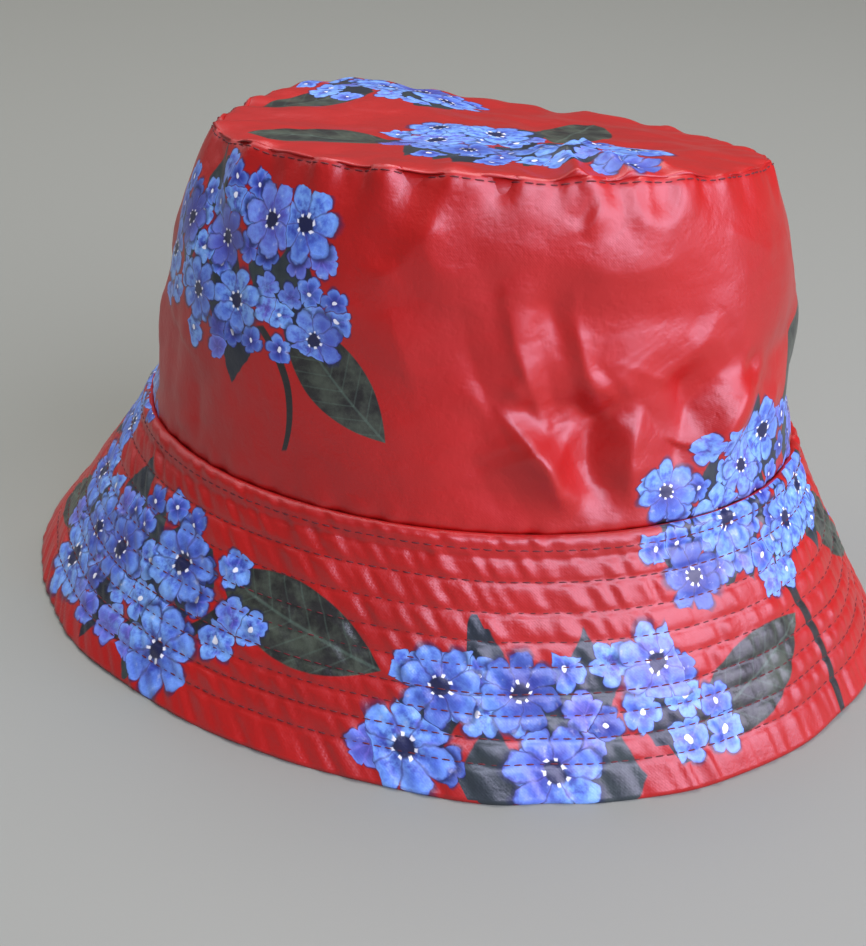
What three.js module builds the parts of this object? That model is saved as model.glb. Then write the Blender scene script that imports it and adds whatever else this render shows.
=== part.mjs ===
// A soft rain hat of coated cloth in the bucket shape. It has three pieces sewn together: a flat oval
// tip, a deep side that wraps the head, and a thick brim of two plies that slopes down and outwards.
// The cloth is crumpled: it stands on the edge of its brim with folds in the side and a slumped tip.
// Units are millimetres, Z is up and the brim's edge rests at z = 0. The head oval is longer along X.
import * as THREE from "three";

// The three ovals that the cloth is cut to, on its outer face. Each has its half length along X, its
// half width along Y, its middle, its height there, and its rise for each millimetre along X and Y.
const BRIM_EDGE = { halfLength: 141.2, halfWidth: 115.1, middleX: -2.8, middleY: -1.9, height: 0, riseX: 0, riseY: 0 };
const BRIM_SEAM = { halfLength: 102.6, halfWidth: 89.6, middleX: 0, middleY: 0, height: 62.8, riseX: 0.017, riseY: -0.044 };
const TIP_SEAM = { halfLength: 84.7, halfWidth: 74.9, middleX: 2.2, middleY: 1.3, height: 150.9, riseX: 0.055, riseY: -0.148 };

const SIDE_CLOTH = 1.3; // thickness of the side's cloth
const TIP_CLOTH = 1.3; // thickness of the tip's cloth
const BRIM_PLIES = 2.4; // thickness of the stitched brim
const SEAM_GAP = 0.3; // space between two pieces where they are sewn
const SHOULDER = 4.5; // how far the side swells out between its two seams
const SHOULDER_POWER = 1.5; // over 1 moves the swelling up towards the tip
const BRIM_FLARE = 0.5; // how far the brim's slope curves inwards between seam and edge
const FLOOR_PRESS = 0.5; // the floor flattens the edge by this much where the brim rests
const TIP_CROWN = 2; // how far the middle of the tip stands over its seam
const BODY_CENTRE = new THREE.Vector3(0, 0, 70); // folds push the crown's cloth to and from this point

const COLUMNS = 104; // steps round the hat
const SIDE_ROWS = 13; // steps up the side
const BRIM_ROWS = 7; // steps down the brim
const TIP_RINGS = 6; // steps across the tip

// Where a seam or the edge leaves its oval: round angle, over spread degrees to each side, it moves
// out and up by so many millimetres.
const TIP_SEAM_SWAYS = [
  { angle: -166, spread: 22, out: -6, up: 1 },
  { angle: 152, spread: 28, out: -2, up: 7 },
  { angle: 65, spread: 24, out: 0, up: -2 },
  { angle: 36, spread: 20, out: -3, up: -1.5 },
];
const BRIM_EDGE_SWAYS = [
  { angle: -60, spread: 14, out: 3.5, up: 0 },
  { angle: -92, spread: 9, out: 1.5, up: 0 },
  { angle: -16, spread: 18, out: -1.5, up: 0 },
  { angle: 24, spread: 26, out: -1, up: 3 },
  { angle: 100, spread: 16, out: -2, up: 2 },
  { angle: 172, spread: 18, out: 1.5, up: 2 },
];

// Folds and dents of the crown. Each runs between two places, given by the angle round the hat in
// degrees and the rise, which is 0 at the brim's seam, 1 at the tip's seam and 2 in the tip's middle.
// width is how far the fold reaches to each side, and depth how far it goes in, or out if negative.
const CROWN_FOLDS = [
  { angle: -64, rise: 0.7, toAngle: -57, toRise: 0.38, width: 7, depth: 4.5 },
  { angle: -57, rise: 0.38, toAngle: -52, toRise: 0.28, width: 5, depth: 4 },
  { angle: -59, rise: 0.42, toAngle: -51, toRise: 0.27, width: 4, depth: -3 },
  { angle: -54, rise: 0.68, toAngle: -48, toRise: 0.4, width: 6, depth: 4.5 },
  { angle: -48, rise: 0.4, toAngle: -44, toRise: 0.33, width: 5, depth: 4 },
  { angle: -46, rise: 0.42, toAngle: -42, toRise: 0.33, width: 4, depth: -2.5 },
  { angle: -47, rise: 0.34, toAngle: -43, toRise: 0.09, width: 9, depth: 3.5 },
  { angle: -66, rise: 0.4, toAngle: -54, toRise: 0.22, width: 7, depth: -3 },
  { angle: -54, rise: 0.22, toAngle: -50, toRise: 0.1, width: 6, depth: -2.5 },
  { angle: -43, rise: 0.5, toAngle: -28, toRise: 0.42, width: 9, depth: 5 },
  { angle: -28, rise: 0.42, toAngle: -23, toRise: 0.18, width: 6, depth: 4 },
  { angle: -21, rise: 0.24, toAngle: -10, toRise: 0.42, width: 6, depth: -3.5 },
  { angle: -12, rise: 0.42, toAngle: 10, toRise: 0.46, width: 8, depth: 4 },
  { angle: 12, rise: 0.24, toAngle: 44, toRise: 0.14, width: 9, depth: 4 },
  { angle: 22, rise: 0.44, toAngle: 44, toRise: 0.44, width: 15, depth: -3 },
  { angle: -44, rise: 0.88, toAngle: -30, toRise: 0.88, width: 14, depth: -3.5 },
  { angle: -52, rise: 0.66, toAngle: -26, toRise: 0.64, width: 10, depth: 3 },
  { angle: -72, rise: 1.3, toAngle: -75, toRise: 0.84, width: 6, depth: -1.5 },
  { angle: -75, rise: 0.84, toAngle: -82, toRise: 0.72, width: 5, depth: -2 },
  { angle: -48, rise: 1.35, toAngle: -30, toRise: 1.3, width: 11, depth: -5 },
  { angle: -62, rise: 1.4, toAngle: -58, toRise: 1.15, width: 8, depth: 2.5 },
  { angle: -115, rise: 1.02, toAngle: -119, toRise: 0.86, width: 6, depth: -3 },
  { angle: -108, rise: 0.96, toAngle: -110, toRise: 0.86, width: 5, depth: 2 },
  { angle: -129, rise: 0.95, toAngle: -118, toRise: 0.7, width: 7, depth: 3 },
  { angle: -126, rise: 0.64, toAngle: -117, toRise: 0.48, width: 7, depth: -2 },
  { angle: -105, rise: 0.6, toAngle: -82, toRise: 0.45, width: 24, depth: 2.5 },
  { angle: -121, rise: 0.22, toAngle: -119, toRise: 0.02, width: 6, depth: 2.5 },
  { angle: 60, rise: 0.85, toAngle: 72, toRise: 0.4, width: 9, depth: 4 },
  { angle: 84, rise: 0.6, toAngle: 76, toRise: 0.1, width: 8, depth: -3 },
  { angle: 104, rise: 0.9, toAngle: 98, toRise: 0.35, width: 9, depth: 4 },
  { angle: 128, rise: 0.75, toAngle: 140, toRise: 0.3, width: 10, depth: 4.5 },
  { angle: 165, rise: 0.9, toAngle: 156, toRise: 0.45, width: 9, depth: 3.5 },
  { angle: -168, rise: 0.5, toAngle: -150, toRise: 0.2, width: 10, depth: 3 },
  { angle: 95, rise: 1.2, toAngle: 120, toRise: 1.6, width: 12, depth: 3 },
  { angle: -150, rise: 1.5, toAngle: 60, toRise: 1.6, width: 18, depth: 2.5 },
];

// The short gathers where the side is eased onto the tip: so many round the hat, so deep and so long.
const GATHERS = { count: 31, depth: 0.9, length: 10 };

// Broad waves down the brim's slope.
const BRIM_FOLDS = [
  { angle: -56, spread: 4, depth: 1.6 },
  { angle: -38, spread: 7, depth: -1.2 },
  { angle: -92, spread: 6, depth: 1.2 },
  { angle: -124, spread: 7, depth: -1.4 },
  { angle: -168, spread: 22, depth: -2 },
  { angle: -8, spread: 6, depth: 1.3 },
  { angle: 48, spread: 9, depth: -1.4 },
  { angle: 88, spread: 7, depth: 1.5 },
  { angle: 132, spread: 8, depth: 1.4 },
];

const radians = (degrees) => (degrees * Math.PI) / 180;
const hill = (x) => Math.exp(-x * x);
const mix = (a, b, share) => a + (b - a) * share;

// The smaller angle between two directions, in degrees.
function turnBetween(a, b) {
  return Math.abs(((((a - b) % 360) + 540) % 360) - 180);
}

const outwards = (angle) => new THREE.Vector3(Math.cos(radians(angle)), Math.sin(radians(angle)), 0);

// A point of one of the cut ovals, with its sways.
function onOval(oval, angle, sways = []) {
  const x = oval.halfLength * Math.cos(radians(angle)) + oval.middleX;
  const y = oval.halfWidth * Math.sin(radians(angle)) + oval.middleY;
  const point = new THREE.Vector3(x, y, oval.height + oval.riseX * x + oval.riseY * y);
  for (const sway of sways) {
    const share = hill(turnBetween(angle, sway.angle) / sway.spread);
    point.addScaledVector(outwards(angle), sway.out * share);
    point.z += sway.up * share;
  }
  return point;
}

// The side's cloth with no folds, from the brim's seam at rise 0 to the tip's seam at rise 1.
function smoothSide(angle, rise) {
  const swell = Math.pow(rise, SHOULDER_POWER);
  return onOval(BRIM_SEAM, angle)
    .lerp(onOval(TIP_SEAM, angle, TIP_SEAM_SWAYS), rise)
    .addScaledVector(outwards(angle), SHOULDER * 4 * swell * (1 - swell));
}

// The tip's cloth with no folds, from its seam at rise 1 to its middle at rise 2.
function smoothTip(angle, rise) {
  const share = rise - 1;
  const middle = new THREE.Vector3(TIP_SEAM.middleX, TIP_SEAM.middleY, TIP_SEAM.height);
  const point = onOval(TIP_SEAM, angle, TIP_SEAM_SWAYS).lerp(middle, share);
  point.z += TIP_CROWN * (1 - (1 - share) * (1 - share));
  return point;
}

const smoothCrown = (angle, rise) => (rise > 1 ? smoothTip(angle, rise) : smoothSide(angle, rise));

// Each fold as a short chain of straight stretches that keeps to the smooth cloth.
const STRETCHES = 3;
const foldPaths = CROWN_FOLDS.map((fold) => {
  const points = [];
  for (let i = 0; i <= STRETCHES; i++) {
    const share = i / STRETCHES;
    points.push(smoothCrown(mix(fold.angle, fold.toAngle, share), mix(fold.rise, fold.toRise, share)));
  }
  return { points, width: fold.width, depth: fold.depth };
});

// The least distance from a point to a chain of straight stretches.
function distanceTo(points, from) {
  const nearest = new THREE.Vector3();
  let least = Infinity;
  for (let i = 1; i < points.length; i++) {
    new THREE.Line3(points[i - 1], points[i]).closestPointToPoint(from, true, nearest);
    least = Math.min(least, nearest.distanceTo(from));
  }
  return least;
}

// How far the folds and gathers push a point of the crown in.
function foldDepth(point, angle, rise) {
  let depth = 0;
  for (const path of foldPaths) {
    depth += path.depth * hill(distanceTo(path.points, point) / path.width);
  }
  const fromSeam = Math.abs(rise - 1) * (TIP_SEAM.height - BRIM_SEAM.height);
  const wave = Math.sin(radians(GATHERS.count * angle)) + Math.sin(radians((GATHERS.count - 12) * angle + 70));
  return depth + (GATHERS.depth / 2) * wave * hill(fromSeam / GATHERS.length);
}

// A point of the crown's outer face. The cloth lies still at the brim's seam, where stitches hold it.
function crownPoint(angle, rise) {
  const point = smoothCrown(angle, rise);
  const inwards = BODY_CENTRE.clone().sub(point).normalize();
  const held = Math.min(1, rise / 0.12);
  return point.addScaledVector(inwards, foldDepth(point, angle, rise) * held);
}

// A point of the brim's outer face, from the seam at share 0 to the edge at share 1.
function brimPoint(angle, share) {
  const point = onOval(BRIM_SEAM, angle).lerp(onOval(BRIM_EDGE, angle, BRIM_EDGE_SWAYS), share);
  let inset = BRIM_FLARE * 4 * share * (1 - share);
  for (const fold of BRIM_FOLDS) {
    inset += fold.depth * hill(turnBetween(angle, fold.angle) / fold.spread) * share;
  }
  return point.addScaledVector(outwards(angle), -inset);
}

// The outward direction of a surface at a place, from two short steps along it.
function facing(surface, angle, place, step) {
  const round = surface(angle + 0.5, place).sub(surface(angle - 0.5, place));
  const along = surface(angle, place + step).sub(surface(angle, place - step));
  return round.cross(along).normalize();
}

// A grid of points: for each column round the hat, one point for each row.
function grid(rows, pointAt) {
  return Array.from({ length: COLUMNS }, (_, column) =>
    Array.from({ length: rows + 1 }, (_, row) => pointAt((column * 360) / COLUMNS, row)),
  );
}

// Joins points into triangles and turns them into a geometry.
class Skin {
  constructor() {
    this.places = [];
    this.corners = [];
  }
  add(point) {
    this.places.push(point.x, point.y, point.z);
    return this.places.length / 3 - 1;
  }
  triangle(a, b, c) {
    this.corners.push(a, b, c);
  }
  // A quadrilateral seen from outside with its corners anticlockwise, cut along its shorter diagonal.
  quad(a, b, c, d) {
    const at = (i) => new THREE.Vector3().fromArray(this.places, i * 3);
    if (at(a).distanceTo(at(c)) <= at(b).distanceTo(at(d))) {
      this.triangle(a, b, c);
      this.triangle(a, c, d);
    } else {
      this.triangle(b, c, d);
      this.triangle(b, d, a);
    }
  }
  geometry() {
    const made = new THREE.BufferGeometry();
    made.setAttribute("position", new THREE.Float32BufferAttribute(this.places, 3));
    made.setIndex(this.corners);
    made.computeVertexNormals();
    return made;
  }
}

// A closed wall round the hat between an outer and an inner grid whose rows run upwards.
function wallOf(outer, inner) {
  const skin = new Skin();
  const out = outer.map((column) => column.map((point) => skin.add(point)));
  const into = inner.map((column) => column.map((point) => skin.add(point)));
  const last = outer[0].length - 1;
  for (let i = 0; i < COLUMNS; i++) {
    const j = (i + 1) % COLUMNS;
    for (let k = 0; k < last; k++) {
      skin.quad(out[i][k], out[j][k], out[j][k + 1], out[i][k + 1]);
      skin.quad(into[j][k], into[i][k], into[i][k + 1], into[j][k + 1]);
    }
    skin.quad(out[j][0], out[i][0], into[i][0], into[j][0]);
    skin.quad(out[i][last], out[j][last], into[j][last], into[i][last]);
  }
  return skin.geometry();
}

// A closed lid between an upper and a lower grid whose rows run from the rim to the middle.
function lidOf(upper, lower) {
  const skin = new Skin();
  const last = upper[0].length - 1;
  const rings = (points) => points.map((column) => column.slice(0, last).map((point) => skin.add(point)));
  const top = rings(upper);
  const base = rings(lower);
  const topMiddle = skin.add(upper[0][last]);
  const baseMiddle = skin.add(lower[0][last]);
  for (let i = 0; i < COLUMNS; i++) {
    const j = (i + 1) % COLUMNS;
    for (let k = 0; k < last - 1; k++) {
      skin.quad(top[i][k], top[j][k], top[j][k + 1], top[i][k + 1]);
      skin.quad(base[j][k], base[i][k], base[i][k + 1], base[j][k + 1]);
    }
    skin.triangle(top[i][last - 1], top[j][last - 1], topMiddle);
    skin.triangle(base[j][last - 1], base[i][last - 1], baseMiddle);
    skin.quad(base[i][0], base[j][0], top[j][0], top[i][0]);
  }
  return skin.geometry();
}

// Along the tip's seam both pieces end on one slanted cut, so their cloth meets corner to corner.
const mitre = (angle) => outwards(angle).multiplyScalar(-SIDE_CLOTH).setZ(-TIP_CLOTH);

function sideGeometry() {
  const lift = (row) => (row === 0 ? SEAM_GAP / 2 : row === SIDE_ROWS ? -SEAM_GAP * 1.2 : 0);
  const outer = grid(SIDE_ROWS, (angle, row) => {
    const point = crownPoint(angle, row / SIDE_ROWS);
    point.z += lift(row);
    return point;
  });
  const inner = grid(SIDE_ROWS, (angle, row) => {
    const rise = row / SIDE_ROWS;
    const point = crownPoint(angle, rise);
    point.z += lift(row);
    if (row === 0) return point.addScaledVector(outwards(angle), -SIDE_CLOTH);
    if (row === SIDE_ROWS) return point.add(mitre(angle));
    return point.addScaledVector(facing(crownPoint, angle, Math.min(rise, 0.99), 0.01), -SIDE_CLOTH);
  });
  return wallOf(outer, inner);
}

function tipGeometry() {
  const outer = grid(TIP_RINGS, (angle, row) => crownPoint(angle, row === 0 ? 1 : 1 + row / TIP_RINGS));
  const inner = grid(TIP_RINGS, (angle, row) => {
    const point = crownPoint(angle, 1 + row / TIP_RINGS);
    return row === 0 ? point.add(mitre(angle)) : point.setZ(point.z - TIP_CLOTH);
  });
  return lidOf(outer, inner);
}

function brimGeometry() {
  const slope = Math.atan2(BRIM_SEAM.height, BRIM_EDGE.halfWidth - BRIM_SEAM.halfWidth);
  const across = BRIM_PLIES / Math.sin(slope); // the plies' thickness measured level
  const place = (angle, row) => {
    const share = 1 - row / BRIM_ROWS;
    const point = brimPoint(angle, share);
    if (share === 0) point.z -= SEAM_GAP / 2;
    if (share === 1) point.z = Math.max(0, point.z - FLOOR_PRESS);
    return point;
  };
  const outer = grid(BRIM_ROWS, place);
  const inner = grid(BRIM_ROWS, (angle, row) => place(angle, row).addScaledVector(outwards(angle), -across));
  return wallOf(outer, inner);
}

// One sewn piece: a named mesh in its own finish.
function piece(name, geometry, colour, roughness) {
  const finish = new THREE.MeshStandardMaterial({ color: colour, roughness, metalness: 0 });
  const mesh = new THREE.Mesh(geometry, finish);
  mesh.name = name;
  return mesh;
}

const COATED_RED = 0xc81e1e;
const SATIN = 0.38;

const hat = new THREE.Group();
hat.add(piece("crown_tip", tipGeometry(), COATED_RED, SATIN));
hat.add(piece("crown_side", sideGeometry(), COATED_RED, SATIN));
hat.add(piece("brim", brimGeometry(), COATED_RED, SATIN));

// The origin is the middle of the hat's footprint, on the surface that the brim rests on.
const footprint = new THREE.Box3().setFromObject(hat, true).getCenter(new THREE.Vector3());
for (const { geometry } of hat.children) {
  geometry.translate(-footprint.x, -footprint.y, 0);
}

export default hat;
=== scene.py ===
# %% [markdown]
# # A rain hat of coated cloth
# A soft bucket hat stands on the edge of its brim. It has three sewn pieces: a flat oval tip, a deep
# side that wraps the head, and a sloping brim of two plies with nine rows of quilting. The cloth is
# red with a waterproof coating, crumpled, and printed with bunches of blue flowers.
# The solids in the frame already have the right size and the main folds. This script makes finer
# cloth for each of them: dense meshes from the same measurements, then stitches, then the finishes.

# %% Load the frame
import math
from collections import namedtuple

import bpy
import numpy as np
from mathutils import Matrix, Vector


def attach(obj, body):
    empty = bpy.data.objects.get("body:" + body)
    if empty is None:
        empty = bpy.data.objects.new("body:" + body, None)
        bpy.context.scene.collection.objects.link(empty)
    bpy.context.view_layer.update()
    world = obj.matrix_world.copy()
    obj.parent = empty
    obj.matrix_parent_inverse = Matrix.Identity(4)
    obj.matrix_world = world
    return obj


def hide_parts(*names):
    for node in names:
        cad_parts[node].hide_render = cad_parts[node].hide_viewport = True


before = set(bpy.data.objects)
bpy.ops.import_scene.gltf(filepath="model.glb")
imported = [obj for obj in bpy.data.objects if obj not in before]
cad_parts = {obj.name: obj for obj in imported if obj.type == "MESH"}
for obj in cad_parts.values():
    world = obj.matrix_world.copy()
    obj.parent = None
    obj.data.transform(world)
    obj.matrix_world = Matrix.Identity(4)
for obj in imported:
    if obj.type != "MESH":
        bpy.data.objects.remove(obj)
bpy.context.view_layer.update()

# %% [markdown]
# ## The camera
# A camera close to its subject shows strong perspective: the near part of the brim looks much larger
# than the far part. Its place was worked out from the hat's outline: 0.6 m away, to the front right
# and above. It could be aimed with a Track To constraint, but a constraint can't give the slight
# roll of a camera held by hand, so the view's own axes are set as a matrix instead.

# %% Camera
MILLIMETRE = 0.001
FOOTPRINT_MIDDLE = Vector((-4.8, -3.3, 0))  # of the ovals below, in mm: the hat's origin is put there
LENS = 71.1  # mm
SENSOR = 36  # mm


def add_object(name, data):
    thing = bpy.data.objects.new(name, data)
    bpy.context.collection.objects.link(thing)
    return thing


camera_data = bpy.data.cameras.new("photo_camera")
camera_data.lens = LENS
camera_data.sensor_width = SENSOR
camera = add_object("photo_camera", camera_data)
bpy.context.scene.camera = camera

place = (Vector((233.75, -482.03, 312.39)) - FOOTPRINT_MIDDLE) * MILLIMETRE
ahead = Vector((-0.40296, 0.79327, -0.45645)).normalized()
above = Vector((-0.23337, 0.39319, 0.88935)).normalized()
aside = ahead.cross(above).normalized()
above = aside.cross(ahead)
axes = Matrix((aside, above, -ahead)).transposed().to_4x4()
camera.matrix_world = Matrix.Translation(place) @ axes
print("camera at", [round(value, 3) for value in camera.location], "lens", LENS)

# %% [markdown]
# ## The smooth form
# Under its folds the hat is simple: three ovals, one above the other. The cloth runs straight from
# one oval to the next, and the side swells a little at the shoulder. All points are computed with
# NumPy, for a whole grid of angles at once. The numbers are in millimetres, as a pattern maker
# would write them, and become metres only when a mesh is made.

# %% Ovals and smooth cloth
Oval = namedtuple("Oval", "half_length half_width middle_x middle_y height rise_x rise_y")
Sway = namedtuple("Sway", "angle spread out up")

BRIM_EDGE = Oval(141.2, 115.1, -2.8, -1.9, 0, 0, 0)
BRIM_SEAM = Oval(102.6, 89.6, 0, 0, 62.8, 0.017, -0.044)
TIP_SEAM = Oval(84.7, 74.9, 2.2, 1.3, 150.9, 0.055, -0.148)
SIDE_HEIGHT = 95  # mm of cloth from seam to seam, about
DEGREE_ROUND = 1.6  # mm of cloth to a degree round the side, about
SHOULDER = 4.5  # how far the side swells out
SHOULDER_POWER = 1.5
TIP_CROWN = 2.0  # how far the middle of the tip stands over its seam
TIP_SEAM_SWAYS = [Sway(-166, 22, -6, 1), Sway(152, 28, -2, 7), Sway(65, 24, 0, -2), Sway(36, 20, -3, -1.5)]
BRIM_EDGE_SWAYS = [
    Sway(-60, 14, 3.5, 0),
    Sway(-92, 9, 1.5, 0),
    Sway(-16, 18, -1.5, 0),
    Sway(24, 26, -1, 3),
    Sway(100, 16, -2, 2),
    Sway(172, 18, 1.5, 2),
]


def hill(x):
    """1 in the middle, and falls smoothly to 0 past x = 2."""
    return np.exp(-x * x)


def turn_between(a, b):
    """The smaller angle between two directions, in degrees."""
    return np.abs((a - b + 180) % 360 - 180)


def near(angle, middle, spread):
    """1 in one direction from the hat's middle, and falls smoothly to 0 past twice the spread."""
    return hill(turn_between(angle, middle) / spread)


def all_round(count):
    """So many directions round the hat, in degrees."""
    return np.arange(count) * 360 / count - 180


def grid_of(across, up):
    """Two grids, of all pairs of a direction and a height."""
    return np.meshgrid(across, up, indexing="ij")


def outwards(angle):
    turn = np.radians(angle)
    return np.stack([np.cos(turn), np.sin(turn), 0 * turn], -1)


def unit(vectors):
    return vectors / np.linalg.norm(vectors, axis=-1, keepdims=True)


def on_oval(oval, angle, sways=()):
    turn = np.radians(angle)
    x = oval.half_length * np.cos(turn) + oval.middle_x
    y = oval.half_width * np.sin(turn) + oval.middle_y
    point = np.stack([x, y, oval.height + oval.rise_x * x + oval.rise_y * y], -1)
    for sway in sways:
        share = near(angle, sway.angle, sway.spread)[..., None]
        point = point + share * (outwards(angle) * sway.out + np.array([0, 0, sway.up]))
    return point


def smooth_side(angle, rise):
    """The side's cloth, from the brim's seam at rise 0 to the tip's seam at rise 1."""
    low, high = on_oval(BRIM_SEAM, angle), on_oval(TIP_SEAM, angle, TIP_SEAM_SWAYS)
    swell = rise**SHOULDER_POWER
    bulge = SHOULDER * 4 * swell * (1 - swell)
    return low + (high - low) * rise[..., None] + outwards(angle) * bulge[..., None]


def smooth_tip(angle, rise):
    """The tip's cloth, from its seam at rise 1 to its middle at rise 2."""
    share = rise - 1
    rim = on_oval(TIP_SEAM, angle, TIP_SEAM_SWAYS)
    middle = np.array([TIP_SEAM.middle_x, TIP_SEAM.middle_y, TIP_SEAM.height])
    point = rim + (middle - rim) * share[..., None]
    point[..., 2] += TIP_CROWN * (1 - (1 - share) ** 2)
    return point


def smooth_crown(angle, rise):
    low = smooth_side(angle, np.minimum(rise, 1.0))
    high = smooth_tip(angle, np.maximum(rise, 1.0))
    return np.where((rise > 1)[..., None], high, low)


front = smooth_side(np.array([-90.0, -90.0]), np.array([0.0, 1.0]))
print("side in front:", round(float(np.linalg.norm(front[1] - front[0]))), "mm high")

# %% [markdown]
# ## The folds
# Limp cloth that is held up only by its own seams buckles: it makes short valleys with sharp ridges
# beside them. A cloth simulation would find its own folds, but not these ones, so each fold is a row
# in a table: where it starts and ends on the hat, how wide it is, and how deep. A point of the cloth
# is pushed in by every fold near it. The same rows shape the solids.

# %% Folds of the crown
Fold = namedtuple("Fold", "angle rise to_angle to_rise width depth")

CROWN_FOLDS = [
    Fold(-64, 0.7, -57, 0.38, 7, 4.5),
    Fold(-57, 0.38, -52, 0.28, 5, 4),
    Fold(-59, 0.42, -51, 0.27, 4, -3),
    Fold(-54, 0.68, -48, 0.4, 6, 4.5),
    Fold(-48, 0.4, -44, 0.33, 5, 4),
    Fold(-46, 0.42, -42, 0.33, 4, -2.5),
    Fold(-47, 0.34, -43, 0.09, 9, 3.5),
    Fold(-66, 0.4, -54, 0.22, 7, -3),
    Fold(-54, 0.22, -50, 0.1, 6, -2.5),
    Fold(-43, 0.5, -28, 0.42, 9, 5),
    Fold(-28, 0.42, -23, 0.18, 6, 4),
    Fold(-21, 0.24, -10, 0.42, 6, -3.5),
    Fold(-12, 0.42, 10, 0.46, 8, 4),
    Fold(12, 0.24, 44, 0.14, 9, 4),
    Fold(22, 0.44, 44, 0.44, 15, -3),
    Fold(-44, 0.88, -30, 0.88, 14, -3.5),
    Fold(-52, 0.66, -26, 0.64, 10, 3),
    Fold(-72, 1.3, -75, 0.84, 6, -1.5),
    Fold(-75, 0.84, -82, 0.72, 5, -2),
    Fold(-48, 1.35, -30, 1.3, 11, -5),
    Fold(-62, 1.4, -58, 1.15, 8, 2.5),
    Fold(-115, 1.02, -119, 0.86, 6, -3),
    Fold(-108, 0.96, -110, 0.86, 5, 2),
    Fold(-129, 0.95, -118, 0.7, 7, 3),
    Fold(-126, 0.64, -117, 0.48, 7, -2),
    Fold(-105, 0.6, -82, 0.45, 24, 2.5),
    Fold(-121, 0.22, -119, 0.02, 6, 2.5),
    Fold(60, 0.85, 72, 0.4, 9, 4),
    Fold(84, 0.6, 76, 0.1, 8, -3),
    Fold(104, 0.9, 98, 0.35, 9, 4),
    Fold(128, 0.75, 140, 0.3, 10, 4.5),
    Fold(165, 0.9, 156, 0.45, 9, 3.5),
    Fold(-168, 0.5, -150, 0.2, 10, 3),
    Fold(95, 1.2, 120, 1.6, 12, 3),
    Fold(-150, 1.5, 60, 1.6, 18, 2.5),
]
BODY_CENTRE = np.array([0, 0, 70.0])  # folds push the cloth to and from this point
GATHER_COUNT, GATHER_DEPTH, GATHER_LENGTH = 31, 0.9, 10.0
GATHER_BEAT = 12  # a second wave has so many fewer, so the gathers come and go
ROUND_SHARE = 0.65  # of each fold's depth: the sharp crests of a later step bring the rest
HELD_SHARE = 0.12  # of the side's height, over which the brim's seam lets go of the cloth


def crest(x):
    """The profile across a fold: a pinched top and sides that run out smoothly."""
    return np.exp(0.3 - np.sqrt(x * x + 0.09) - x * x / 4)


def fold_path(fold, stretches=3):
    share = np.linspace(0, 1, stretches + 1)
    angle = fold.angle + (fold.to_angle - fold.angle) * share
    return smooth_crown(angle, fold.rise + (fold.to_rise - fold.rise) * share)


def distance_to(path, point):
    least = np.full(point.shape[:-1], np.inf)
    for start, end in zip(path[:-1], path[1:]):
        along = end - start
        share = np.clip((point - start) @ along / (along @ along), 0, 1)
        least = np.minimum(least, np.linalg.norm(point - start - share[..., None] * along, axis=-1))
    return least


def folds_at(point, folds, profile):
    """How far a list of folds pushes each point in."""
    depth = np.zeros(point.shape[:-1])
    for fold in folds:
        depth += fold.depth * profile(distance_to(fold_path(fold), point) / fold.width)
    return depth


def gathers_at(angle, rise):
    """Short waves on both sides of the tip's seam, where the longer side is eased onto the tip."""
    from_seam = np.abs(rise - 1) * (TIP_SEAM.height - BRIM_SEAM.height)
    wave = np.sin(np.radians(GATHER_COUNT * angle))
    wave += np.sin(np.radians((GATHER_COUNT - GATHER_BEAT) * angle + 70))
    return GATHER_DEPTH / 2 * wave * hill(from_seam / GATHER_LENGTH)


def freed(rise):
    """How free the cloth is: 0 at the brim's seam, where the stitches hold it still, and soon 1."""
    return np.minimum(1, rise / HELD_SHARE)


def crown_point(angle, rise):
    """A point of the folded crown."""
    point = smooth_crown(angle, rise)
    depth = ROUND_SHARE * folds_at(point, CROWN_FOLDS, crest) + gathers_at(angle, rise)
    return point + unit(BODY_CENTRE - point) * (depth * freed(rise))[..., None]


print(len(CROWN_FOLDS), "folds, the deepest", max(abs(fold.depth) for fold in CROWN_FOLDS), "mm")

# %% [markdown]
# ## Sharp crests
# Coated cloth is a little stiff, so its folds have one steep flank and one gentle flank that meet in a
# crisp crest. That crest is what makes the folds read: light from the right falls on every gentle
# flank and leaves the steep one dark. A symmetric profile looks like wax, so these folds get a profile
# with a steep and a gentle side. Each one bends through three places and fades out at both ends.

# %% Crests
Crest = namedtuple("Crest", "angle rise mid_angle mid_rise to_angle to_rise gentle steep height peak")

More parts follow.
